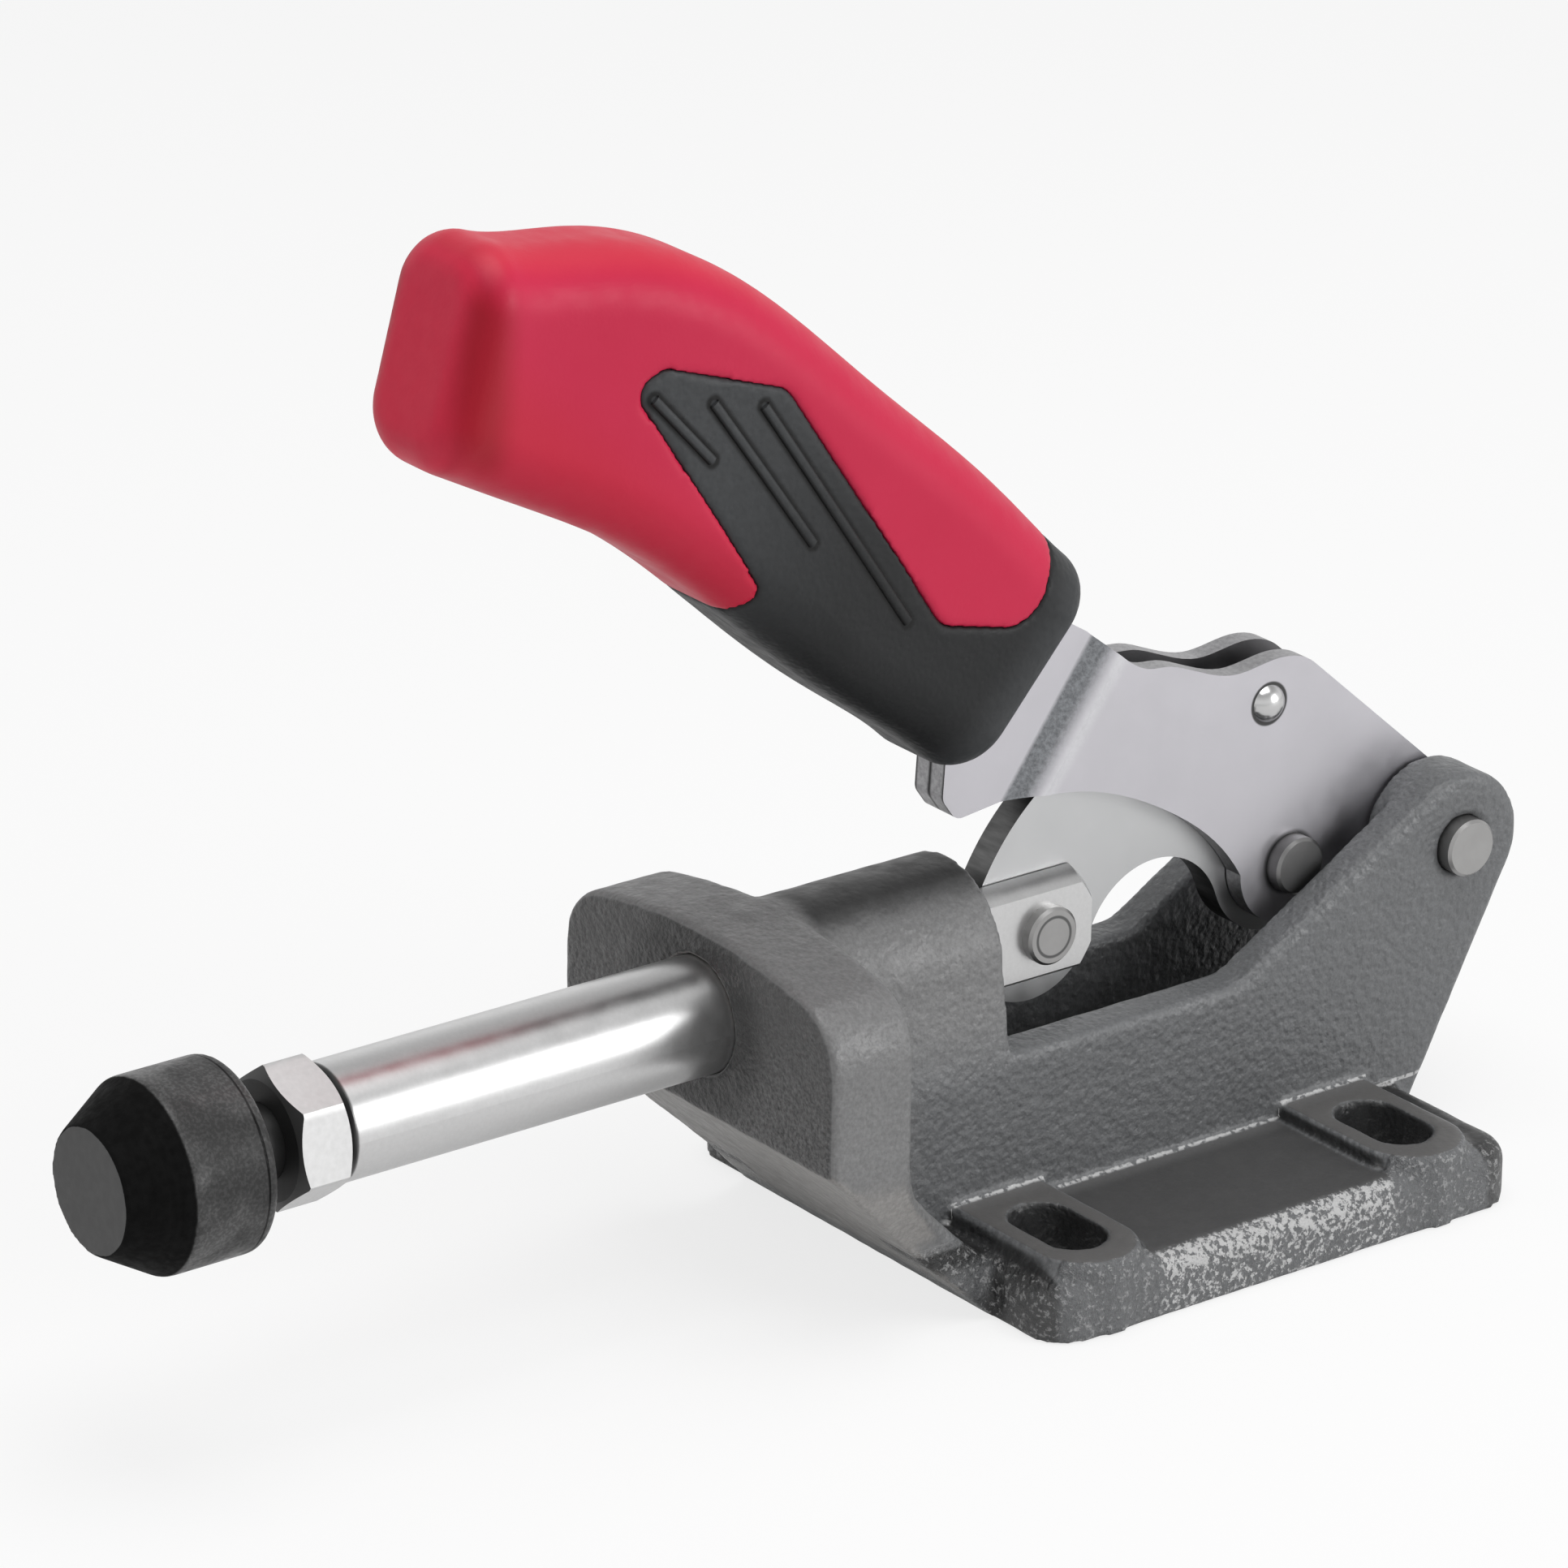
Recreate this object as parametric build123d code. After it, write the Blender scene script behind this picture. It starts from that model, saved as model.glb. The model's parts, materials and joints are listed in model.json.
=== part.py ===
"""Push-pull toggle clamp: a round plunger slides in a cast base and is driven through a C-shaped
link by a hand lever made of two pressed plates with a two-colour moulded grip.

Millimetres.  X runs across the clamp, the plunger points to -Y, Z is up.  The origin is the centre
of the four mounting slots on the underside of the base.  The model is in the clamped position, with
the three pivots in line and the stop rivet on the back of the link.
"""
from build123d import *
from collections import namedtuple
from math import cos, sin, tan, radians, degrees, atan2, hypot
import os

# ---- pivots, in the mid plane ----
axis_z = 41.2            # plunger axis above the underside
pivot_y = 52.4           # lever pivot behind the origin
crank = 23.3             # lever pivot to link pin
link_pitch = 42.6        # link pin to clevis pin
pin_dia = 8.2            # all three pivot pins
pin_gap = 0.05           # radial running clearance on a pin
pin_chamfer = 0.4

# ---- base casting ----
base_width = 79.6
base_front_y = -38.6     # front edge of the underside
base_rear_y = 42.6
base_thick = 8.6
base_corner_r = 6.0
base_edge_r = 3.0
slot_pitch_x = 54.8
slot_pitch_y = 56.8
slot_width = 8.9
slot_length = 15.4
pad_top = 10.7
pad_width = 15.8
pad_overhang = 0.6       # pads stand this far proud of the base sides
pad_edge_r = 0.9
wall_outer = 14.5        # half width over the side walls and ears
wall_inner = 8.6         # half width of the trough
wall_top = 30.0
wall_edge_r = 1.2
wall_root_r = 2.0
floor_z = 10.0           # trough floor
ear_foot_y = 13.5        # where the ears start to rise from the walls
ear_foot_r = 7.0
ear_r = 10.2
ear_boss_reach = 5.6     # half gap between the inner bosses of the ears
guide_r = 12.5           # rounded top of the plunger guide
guide_rear_y = -26.2
guide_flank_z = 28.0     # the guide's flanks reach the wall width here
plunger_bore_gap = 0.05

# ---- front flange of the casting ----
flange_face_y = -67.7
flange_thick = 13.6
flange_width = 58.6
flange_crown_z = 53.4
flange_shoulder_z = 49.0
flange_corner_r = 9.0
flange_lip_z = 28.2      # lower edge of the flat front face
waist_width = 48.2       # narrowest place under the flange
waist_z = 12.0
skirt_width = 55.0       # the waist spreads to this at the underside
web_rise = 8.0           # height of the sloping web, measured upright
flange_root_r = 11.0     # concave fillet behind the flange
flange_rear_edge_r = 1.5
flange_front_edge_r = 1.2

# ---- plunger ----
plunger_dia = 16.0
plunger_front_y = -127.3
plunger_end_chamfer = 0.8
plunger_tail = 7.8       # tail beyond the clevis pin
tail_chamfer = 1.8
fork_flat = 5.4          # half width over the milled flats
fork_flat_length = 22.0  # flats start this far in front of the clevis pin
fork_slot_depth = 18.6   # slot reaches this far in front of the clevis pin
thread_dia = 10.0
thread_depth = 30.0
thread_gap = 0.05
clevis_reach = 7.1       # half length over the clevis pin heads

# ---- link ----
link_thick = 4.3
link_width = 21.7        # width of the C, ends fully rounded
link_sag = 7.2           # centre of the C below the line of its pins
side_gap = 0.2           # clearance beside the link

# ---- lever plates ----
plate_thick = 3.0
joggle_gap = 0.25        # link clears the joggle by this
joggle_length = 4.6
joggle_lean = 54.2       # from the vertical to the bend line's normal
pivot_eye_r = 8.0
link_eye_r = 8.7
back_slope = 41.3        # straight back of the plates, from the horizontal
back_length = 33.9
plate_corner_r = 2.0
rivet_angle = 62.1       # round the centre of the link's arc
rivet_shank_dia = 4.0
rivet_gap = 0.1          # rivet to link at the stop
rivet_head_dia = 5.4
rivet_head_height = 1.6
link_pin_reach = 7.8     # half length over the link pin
pivot_pin_reach = 16.5   # half length over the pivot pin
bush_dia = 12.0

# ---- grip: sections along its axis, measured from the lever end, and corners of its insert ----
Station = namedtuple("Station", "along centre tilt height width")
grip_lean = 41.5         # axis of the straight part above the horizontal
grip_start = (-22.0, 81.7)
grip_mouth = Station(along=-3.2, centre=0.2, tilt=0, height=33.7, width=24.0)
grip_heel = Station(along=18.0, centre=0.1, tilt=0, height=34.8, width=24.0)
grip_middle = Station(along=40.0, centre=-0.2, tilt=1, height=35.6, width=24.2)
grip_bend = Station(along=60.0, centre=-0.3, tilt=4, height=36.0, width=23.8)
grip_neck = Station(along=76.0, centre=-2.2, tilt=12, height=36.9, width=22.4)
grip_dent = Station(along=90.5, centre=-7.4, tilt=19, height=34.0, width=20.0)
grip_end = Station(along=106.6, centre=-13.5, tilt=26, height=30.4, width=23.4)
grip_corner_r = 8.0
grip_mouth_r = 4.5
grip_end_r = 5.0
panel_tip_u = 82.6       # corners of the black insert, along the grip and above its axis
panel_tip_v = -3.6
panel_step_u = 62.5
panel_step_v = 8.8
panel_root_u = 18.5
panel_root_v = -2.4
collar_u = 5.2
collar_v = 4.6
lobe_u = 47.0
lobe_v = -13.4
panel_belly_u = 66.0
panel_belly_v = -8.2
tang_top = 9.6
tang_bottom = 11.0
tang_length = 62.0
tang_gap = 0.05

# ---- clamping spindle ----
nut_across = 17.0
nut_height = 8.0
nut_chamfer_deg = 30.0
cap_dia = 25.9
cap_length = 19.7
cap_face_dia = 16.9
cap_taper = 7.7
spindle_reach = 33.9     # cap face in front of the plunger end
bolt_head_across = 17.0
bolt_head_height = 6.4
head_cover = 9.0         # rubber in front of the bolt head
cap_edge_r = 0.8
cap_lip = 1.0
cap_lip_dia = 20.0

link_pin_y = pivot_y - crank
clevis_y = link_pin_y - link_pitch
half_link = link_thick / 2
plate_in = half_link + side_gap
plate_out = plate_in + plate_thick
cap_face_y = plunger_front_y - spindle_reach


def across(view, x_low, x_high):
    """Solid of a side-view (Y, Z) face between two X stations."""
    return extrude(Plane.YZ.offset(x_low) * view, x_high - x_low, dir=(1, 0, 0))


def lengthwise(view, y_low, y_high):
    """Solid of a front-view (X, Z) face between two Y stations."""
    return extrude(Plane.XZ.offset(-y_low) * view, y_high - y_low, dir=(0, 1, 0))


def crosswise_pin(y, z, radius, x_low, x_high, chamfer_size=0.0):
    """Round pin along X."""
    pin = Pos((x_low + x_high) / 2, y, z) * Rot(0, 90, 0) * Cylinder(radius, x_high - x_low)
    return chamfer(pin.edges().filter_by(GeomType.CIRCLE), chamfer_size) if chamfer_size else pin


def hexagon_bar(across_flats, length):
    """Hexagon prism along Y from the origin towards +Y, corners turned at both ends."""
    bar = extrude(Plane.XZ * RegularPolygon(across_flats / 2, 6, major_radius=False), -length)
    corner = across_flats / 2 / cos(radians(30))
    cone_rise = (corner - across_flats * 0.47) * tan(radians(nut_chamfer_deg))
    turned = Pos(0, length / 2, 0) * Rot(90, 0, 0) * Cylinder(corner, length)
    turned = chamfer(turned.edges().filter_by(GeomType.CIRCLE), cone_rise, corner - across_flats * 0.47)
    return bar & turned


# ---------------------------------------------------------------- base casting
def base_plate():
    outline = RectangleRounded(base_width, base_rear_y - base_front_y, base_corner_r)
    plate = extrude(Pos(0, (base_rear_y + base_front_y) / 2) * outline, base_thick)
    return fillet(plate.edges().group_by(Axis.Z)[-1], base_edge_r)


def mounting_pads():
    reach = base_width / 2 + pad_overhang
    pads = Part()
    for side in (-1, 1):
        for row in (-1, 1):
            end = Pos(side * (reach - pad_width / 2), 0) * Circle(pad_width / 2)
            body = Pos(side * (reach + wall_inner) / 2 - side * pad_width / 4, 0) * Rectangle(
                reach - wall_inner - pad_width / 2, pad_width)
            pad = extrude(Pos(0, row * slot_pitch_y / 2) * (end + body), pad_top)
            pads += fillet(pad.edges().group_by(Axis.Z)[-1], pad_edge_r)
    return pads


def slot_cutters():
    cutters = Part()
    for side in (-1, 1):
        for row in (-1, 1):
            slot = Pos(side * slot_pitch_x / 2, row * slot_pitch_y / 2) * SlotOverall(slot_length, slot_width)
            cutters += extrude(slot, 2 * pad_top)
    return cutters


def side_walls():
    """The two side walls in one block: low between the guide and the ears, which rise round the lever pivot."""
    boss = Pos(pivot_y, axis_z) * Circle(ear_r)
    foot = Polygon((ear_foot_y, wall_top), (ear_foot_y, 0), (base_rear_y, 0), align=None)
    ear = across(make_hull(boss.edges() + foot.edges()), -wall_outer, wall_outer)
    wall_start = guide_rear_y - wall_root_r
    wall = across(Pos((wall_start + ear_foot_y) / 2, wall_top / 2) * Rectangle(ear_foot_y - wall_start, wall_top),
                  -wall_outer, wall_outer)
    block = wall + ear
    corner = block.edges().filter_by(Axis.X).sort_by_distance((0, ear_foot_y, wall_top))[0]
    block = fillet(corner, ear_foot_r)
    rim = [e for e in block.edges() if abs(abs(e.center().X) - wall_outer) < 0.01 and e.center().Z > base_thick
           and e.center().Y > guide_rear_y]
    return fillet(rim, wall_edge_r)


def plunger_guide():
    """Arched block round the plunger bore, widening to the walls."""
    arch = Pos(0, axis_z) * Circle(guide_r)
    flanks = Polygon((-guide_r, axis_z), (guide_r, axis_z), (wall_outer, guide_flank_z), (wall_outer, 0),
                     (-wall_outer, 0), (-wall_outer, guide_flank_z), align=None)
    above_ramp = Polygon((flange_face_y, flange_lip_z), (base_front_y, 0), (guide_rear_y, 0),
                         (guide_rear_y, 2 * axis_z), (flange_face_y, 2 * axis_z), align=None)
    guide = lengthwise(arch + flanks, flange_face_y + flange_thick / 2, guide_rear_y)
    return guide & across(above_ramp, -wall_outer, wall_outer)


def flange_front_view():
    half = flange_width / 2
    top = ThreePointArc((-half, flange_shoulder_z), (0, flange_crown_z), (half, flange_shoulder_z))
    half_waist, half_skirt = waist_width / 2, skirt_width / 2
    right = Line((half, flange_shoulder_z), (half, flange_lip_z))
    sweep_in = Spline((half, flange_lip_z), (half_waist, waist_z), (half_skirt, 0),
                      tangents=[(0, -1), (0.35, -1)])
    left = mirror(right + sweep_in, Plane.YZ)
    bottom = Line((-half_skirt, 0), (half_skirt, 0))
    view = make_face(top + right + sweep_in + left + bottom)
    shoulders = view.vertices().sort_by(Axis.Y)[-2:]
    return fillet(shoulders, flange_corner_r)


def flange_side_view():
    """Side view of the flange with the sloping web that carries it."""
    rear = flange_face_y + flange_thick
    slope = flange_lip_z / (base_front_y - flange_face_y)
    rise = (base_front_y - rear) * slope + web_rise
    inner_y = base_front_y + base_thick
    outline = Polygon((rear, rise), (base_front_y, web_rise), (inner_y, web_rise), (inner_y, 0),
                      (base_front_y, 0), (flange_face_y, flange_lip_z), (flange_face_y, flange_crown_z + 1),
                      (rear, flange_crown_z + 1), align=None)
    root = outline.vertices().sort_by_distance((rear, rise, 0))[0]
    return fillet(root, flange_root_r)


def front_flange():
    """Broad arched flange, undercut in front and waisted below, from its front and side views."""
    deep = lengthwise(flange_front_view(), flange_face_y, base_rear_y)
    long = across(flange_side_view(), -flange_width, flange_width)
    flange = deep & long
    for rim_y, radius in ((flange_face_y + flange_thick, flange_rear_edge_r), (flange_face_y, flange_front_edge_r)):
        rim = [e for e in flange.edges() if abs(e.center().Y - rim_y) < 0.01 and e.bounding_box().size.Y < 0.01
               and e.center().Z > flange_lip_z + 1]
        flange = fillet(rim, radius)
    return flange


def base_casting():
    body = base_plate() + side_walls()
    body += plunger_guide() + front_flange() + mounting_pads()
    trough = Box(2 * wall_inner, base_rear_y * 2 - guide_rear_y, wall_top * 2 - floor_z,
                 align=(Align.CENTER, Align.MIN, Align.MIN))
    body -= Pos(0, guide_rear_y, floor_z) * trough
    for side in (-1, 1):
        body += crosswise_pin(pivot_y, axis_z, ear_r, *sorted((side * ear_boss_reach, side * wall_inner)))
    body -= crosswise_pin(pivot_y, axis_z, pin_dia / 2 + pin_gap, -wall_outer, wall_outer)
    bore_length = guide_rear_y - flange_face_y
    bore = Cylinder(plunger_dia / 2 + plunger_bore_gap, bore_length * 2)
    body -= Pos(0, (guide_rear_y + flange_face_y) / 2, axis_z) * Rot(90, 0, 0) * bore
    return body - slot_cutters()


# ---------------------------------------------------------------- link and plunger
def link():
    mid_y = (link_pin_y + clevis_y) / 2
    centre_z = axis_z - link_sag
    mean_r = hypot(link_pitch / 2, link_sag)
    half_angle = degrees(atan2(link_pitch / 2, link_sag))
    arc = CenterArc((mid_y, centre_z), mean_r, 90 - half_angle, 2 * half_angle)
    outline = SlotArc(arc, link_width)
    eyes = Sketch()
    for y in (link_pin_y, clevis_y):
        eyes += Pos(y, axis_z) * Circle(pin_dia / 2 + pin_gap)
    plate = across(outline - eyes, -half_link, half_link)
    return plate


def plunger_rod():
    tail_y = clevis_y + plunger_tail
    length = tail_y - plunger_front_y
    rod = Pos(0, plunger_front_y + length / 2, axis_z) * Rot(90, 0, 0) * Cylinder(plunger_dia / 2, length)
    ends = rod.edges().filter_by(GeomType.CIRCLE).sort_by(Axis.Y)
    rod = chamfer(ends[0], plunger_end_chamfer)
    rod = chamfer(rod.edges().filter_by(GeomType.CIRCLE).sort_by(Axis.Y)[-1], tail_chamfer)
    flat_length = fork_flat_length + plunger_tail
    for side in (-1, 1):
        cheek = Box(plunger_dia, flat_length, plunger_dia, align=(Align.MIN, Align.MAX, Align.CENTER))
        rod -= Pos(fork_flat, tail_y, axis_z) * cheek if side > 0 else (
            Pos(-fork_flat - plunger_dia, tail_y, axis_z) * cheek)
    slot = Box(2 * plate_in, fork_slot_depth + plunger_tail, 2 * plunger_dia,
               align=(Align.CENTER, Align.MAX, Align.CENTER))
    rod -= Pos(0, tail_y, axis_z) * slot
    rod -= crosswise_pin(clevis_y, axis_z, pin_dia / 2, -plunger_dia, plunger_dia)
    tapped = Pos(0, plunger_front_y, axis_z) * Rot(90, 0, 0) * Cylinder(
        thread_dia / 2 + thread_gap, 2 * thread_depth)
    return rod - tapped


def clevis_studs():
    """Clevis pin, parted where the link passes: a stud with a turned head in each cheek."""
    studs = []
    for side in (-1, 1):
        stud = crosswise_pin(clevis_y, axis_z, pin_dia / 2, *sorted((side * plate_in, side * clevis_reach)))
        outer = stud.edges().filter_by(GeomType.CIRCLE).sort_by(Axis.X)[-1 if side > 0 else 0]
        studs.append(chamfer(outer, pin_chamfer))
    return Compound(studs)


# ---------------------------------------------------------------- lever
link_mid_y = (link_pin_y + clevis_y) / 2
link_centre_z = axis_z - link_sag
link_outer_r = hypot(link_pitch / 2, link_sag) + link_width / 2


def on_grip(along, above):
    """Point of the side view given along the grip axis and above it."""
    lean = radians(grip_lean)
    return (grip_start[0] - along * cos(lean) + above * sin(lean),
            grip_start[1] + along * sin(lean) + above * cos(lean))


def rivet_centre():
    reach = link_outer_r + rivet_gap + rivet_shank_dia / 2
    return (link_mid_y + reach * cos(radians(rivet_angle)), link_centre_z + reach * sin(radians(rivet_angle)))


def lever_head():
    """Band between the two pivot eyes."""
    pivot_eye = Pos(pivot_y, axis_z) * Circle(pivot_eye_r)
    link_eye = Pos(link_pin_y, axis_z) * Circle(link_eye_r)
    return make_hull(pivot_eye.edges() + link_eye.edges())


def lever_outline():
    """Side view of a lever plate: the head, the shoulder over the link and the tang inside the grip."""
    back_foot = (pivot_y + pivot_eye_r * sin(radians(back_slope)), axis_z + pivot_eye_r * cos(radians(back_slope)))
    shoulder = (back_foot[0] - back_length * cos(radians(back_slope)),
                back_foot[1] + back_length * sin(radians(back_slope)))
    back_way = (-cos(radians(back_slope)), sin(radians(back_slope)))
    neck_top = on_grip(-18.0, 10.7)
    crest = Spline(shoulder, (26.0, 71.6), (18.0, 70.9), (6.4, 74.7), neck_top, tangents=[back_way, back_way])
    tang_line = Polyline(neck_top, on_grip(-12.0, 10.7), on_grip(-5.5, tang_top), on_grip(tang_length, tang_top),
                         on_grip(tang_length, -tang_bottom), on_grip(2.0, -tang_bottom), on_grip(-3.0, -14.5),
                         on_grip(-6.5, -19.0), (-27.4, 59.9), (-18.9, 60.9))
    belly = Spline((-18.9, 60.9), (-8.4, 60.3), (7.3, 53.7), (16.1, 46.9), (link_pin_y - link_eye_r, axis_z))
    closing = Polyline((link_pin_y - link_eye_r, axis_z), (pivot_y, axis_z), back_foot, shoulder)
    outline = make_face(crest + tang_line + belly + closing) + lever_head()
    tip = outline.vertices().sort_by_distance(Vector(*on_grip(-6.5, -19.0), 0))[:2]
    return fillet(tip, plate_corner_r)


def joggled_sheet():
    """Sheet that stands clear of the link over the head and lies on the mid plane along the tang."""
    lean = radians(joggle_lean)
    reach = link_outer_r + joggle_gap
    foot = (0, link_mid_y - reach * sin(lean), link_centre_z + reach * cos(lean))
    section = Plane(origin=foot, x_dir=(0, -sin(lean), cos(lean)), z_dir=(0, cos(lean), sin(lean)))
    far = tang_length + link_pitch + crank
    strip = Polygon((-far, plate_in), (0, plate_in), (joggle_length, 0), (2 * far, 0), (2 * far, plate_thick),
                    (joggle_length, plate_thick), (0, plate_out), (-far, plate_out), align=None)
    return extrude(section * strip, far, both=True)


def lever_plate():
    """Plate on the +X side."""
    plate = across(lever_outline(), 0, plate_out) & joggled_sheet()
    for y in (pivot_y, link_pin_y):
        plate -= crosswise_pin(y, axis_z, pin_dia / 2 + pin_gap, 0, 2 * plate_out)
    return plate - crosswise_pin(*rivet_centre(), rivet_shank_dia / 2, 0, 2 * plate_out)


def pivot_pin():
    return crosswise_pin(pivot_y, axis_z, pin_dia / 2, -pivot_pin_reach, pivot_pin_reach, pin_chamfer)


def pivot_bush():
    """Spacer on the pivot pin between the lever plates."""
    bush = crosswise_pin(pivot_y, axis_z, bush_dia / 2, -plate_in, plate_in)
    return bush - crosswise_pin(pivot_y, axis_z, pin_dia / 2 + pin_gap, -plate_in, plate_in)


def link_pin():
    return crosswise_pin(link_pin_y, axis_z, pin_dia / 2, -link_pin_reach, link_pin_reach, pin_chamfer)


def stop_rivet():
    """Rivet across the plates that meets the back of the link; a low dome at each end."""
    crown = plate_out + rivet_head_height
    head_r, shank_r = rivet_head_dia / 2, rivet_shank_dia / 2
    cap_r = (head_r ** 2 + rivet_head_height ** 2) / (2 * rivet_head_height)
    shank = Polyline((-plate_out, head_r), (-plate_out, shank_r), (plate_out, shank_r), (plate_out, head_r))
    right = RadiusArc((plate_out, head_r), (crown, 0), cap_r)
    left = mirror(right, Plane.YZ)
    section = make_face(shank + right + left + Line((-crown, 0), (crown, 0)))
    return Pos(0, *rivet_centre()) * revolve(section, Axis.X)


# ---------------------------------------------------------------- grip
def grip_section(station):
    y, z = on_grip(station.along, station.centre)
    lean = radians(grip_lean - station.tilt)
    frame = Plane(origin=(0, y, z), x_dir=(1, 0, 0), z_dir=(0, -cos(lean), sin(lean)))
    return frame * RectangleRounded(station.width, station.height, grip_corner_r)


def grip_body():
    stations = (grip_mouth, grip_heel, grip_middle, grip_bend, grip_neck, grip_dent, grip_end)
    body = loft([grip_section(station) for station in stations])
    ends = body.faces().filter_by(GeomType.PLANE).sort_by(Axis.Z)
    body = fillet(ends[0].edges(), grip_mouth_r)
    end = body.faces().filter_by(GeomType.PLANE).sort_by(Axis.Z)[-1]
    body = fillet(end.edges(), grip_end_r)
    pocket = across(lever_outline(), -plate_thick - tang_gap, plate_thick + tang_gap)
    return body - pocket


def core_region():
    """Side view of the black insert: a collar at the lever end and a panel that tapers along the side."""
    far = 2 * grip_middle.height
    corners = [on_grip(*place) for place in (
        (panel_tip_u, panel_tip_v), (panel_tip_u - 2.5, panel_tip_v + 4.8), (panel_step_u, panel_step_v),
        (panel_root_u, panel_root_v), (collar_u, collar_v), (collar_u + 1.5, collar_v + 8.0), (2 * collar_u, far),
        (-far, far), (-far, -far), (lobe_u + 3.0, -far), (lobe_u, lobe_v - 4.5), (lobe_u, lobe_v),
        (panel_belly_u, panel_belly_v))]
    region = Polygon(*corners, align=None)
    for place, radius in ((corners[0], 2.5), (corners[1], 2.5), (corners[2], 4.0), (corners[3], 4.0),
                          (corners[4], 6.0), (corners[11], 2.0)):
        corner = region.vertices().sort_by_distance((*place, 0))[0]
        region = fillet(corner, radius)
    return region


# ---------------------------------------------------------------- clamping spindle
def lock_nut():
    nut = Pos(0, plunger_front_y - nut_height, axis_z) * hexagon_bar(nut_across, nut_height)
    bore = Pos(0, plunger_front_y, axis_z) * Rot(90, 0, 0) * Cylinder(thread_dia / 2 + thread_gap, 3 * nut_height)
    return nut - bore


def clamping_bolt():
    """Hexagon bolt whose head carries the cap."""
    head_y = cap_face_y + head_cover
    head = Pos(0, head_y, axis_z) * hexagon_bar(bolt_head_across, bolt_head_height)
    tip_y = plunger_front_y + thread_depth - thread_dia / 2
    shank_y = head_y + bolt_head_height
    shank = Pos(0, (shank_y + tip_y) / 2, axis_z) * Rot(90, 0, 0) * Cylinder(thread_dia / 2, tip_y - shank_y)
    return head + shank


def rubber_cap():
    """Cap with a tapered nose, moulded over the bolt head, with a thin lip behind."""
    body_r, face_r = cap_dia / 2, cap_face_dia / 2
    rear = cap_length
    profile = Polyline((0, 0), (face_r, 0), (body_r, cap_taper), (body_r, rear), (0, rear), (0, 0))
    turned = revolve(Plane.XY * make_face(profile), Axis.Y)
    rims = turned.edges().filter_by(GeomType.CIRCLE).sort_by(Axis.Y)
    turned = fillet(rims[-1], cap_edge_r)
    lip = Pos(0, rear + cap_lip / 2, 0) * Rot(90, 0, 0) * Cylinder(cap_lip_dia / 2, cap_lip)
    cap = Pos(0, cap_face_y, axis_z) * (turned + lip)
    pocket = Pos(0, cap_face_y + head_cover, axis_z) * hexagon_bar(bolt_head_across, bolt_head_height)
    shank = Pos(0, cap_face_y + cap_length, axis_z) * Rot(90, 0, 0) * Cylinder(thread_dia / 2, cap_length)
    return cap - pocket - shank


def build():
    left_plate = lever_plate()
    grip = grip_body()
    region = across(core_region(), -grip_middle.width, grip_middle.width)
    parts = {
        "base_casting": base_casting(),
        "pivot_pin": pivot_pin(),
        "pivot_bush": pivot_bush(),
        "lever_plate_left": left_plate,
        "lever_plate_right": mirror(left_plate, Plane.YZ),
        "link_pin": link_pin(),
        "stop_rivet": stop_rivet(),
        "grip_shell": grip - region,
        "grip_core": grip & region,
        "toggle_link": link(),
        "clevis_studs": clevis_studs(),
        "plunger_rod": plunger_rod(),
        "lock_nut": lock_nut(),
        "clamping_bolt": clamping_bolt(),
        "rubber_cap": rubber_cap(),
    }
    os.makedirs("parts", exist_ok=True)
    for name, part in parts.items():
        export_step(part, f"parts/{name}.step")


if __name__ == "__main__":
    build()
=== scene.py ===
"""Dressing of a toggle clamp: painted casting, chromed plunger, zinc plated lever and two-colour grip."""
import bmesh
import bpy
import json
import math
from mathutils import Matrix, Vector, noise

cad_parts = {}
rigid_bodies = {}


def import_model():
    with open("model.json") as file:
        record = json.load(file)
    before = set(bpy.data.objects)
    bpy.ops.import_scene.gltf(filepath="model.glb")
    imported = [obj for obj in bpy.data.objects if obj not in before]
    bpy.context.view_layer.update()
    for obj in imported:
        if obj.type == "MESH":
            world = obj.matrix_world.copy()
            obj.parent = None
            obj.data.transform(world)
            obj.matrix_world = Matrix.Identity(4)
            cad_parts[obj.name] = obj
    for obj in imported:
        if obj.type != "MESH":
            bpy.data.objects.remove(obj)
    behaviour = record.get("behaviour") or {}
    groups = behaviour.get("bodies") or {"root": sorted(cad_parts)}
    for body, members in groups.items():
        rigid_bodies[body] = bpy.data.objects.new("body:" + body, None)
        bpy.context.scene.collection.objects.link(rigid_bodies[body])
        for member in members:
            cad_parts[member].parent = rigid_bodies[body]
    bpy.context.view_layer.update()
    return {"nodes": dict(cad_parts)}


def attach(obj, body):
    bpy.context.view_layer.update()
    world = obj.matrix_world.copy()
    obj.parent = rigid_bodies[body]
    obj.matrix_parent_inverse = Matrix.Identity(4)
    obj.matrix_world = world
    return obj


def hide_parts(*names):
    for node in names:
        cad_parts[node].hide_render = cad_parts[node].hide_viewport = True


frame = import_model()
MM = 0.001

# points closer than these, in metres, become one; edges sharper than the angle stay sharp
CAD_MERGE = 2e-6
RING_MERGE = 1e-7
SHARP_ANGLE = math.radians(24)

# ------------------------------------------------------------------ places, in millimetres
# pins and rivets as (y, z) of the side view
CLEVIS_PIN = (-13.5, 41.2)
LINK_PIN = (29.1, 41.2)
STOP_RIVET = (24.38, 65.32)

# plunger, nut and cap
AXIS_Z = 41.2
PLUNGER_FRONT = -127.3
CAP_FACE = -161.2
CAP_PARTING = CAP_FACE + 18.2
NUT_ACROSS = 17.0
NUT_HEIGHT = 8.0
NUT_TURN = math.radians(-22.0)
NUT_FACE_R = 0.47 * NUT_ACROSS
NUT_CHAMFER = math.radians(30)
NUT_BORE_R = 5.05
NUT_STEPS = 120

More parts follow.
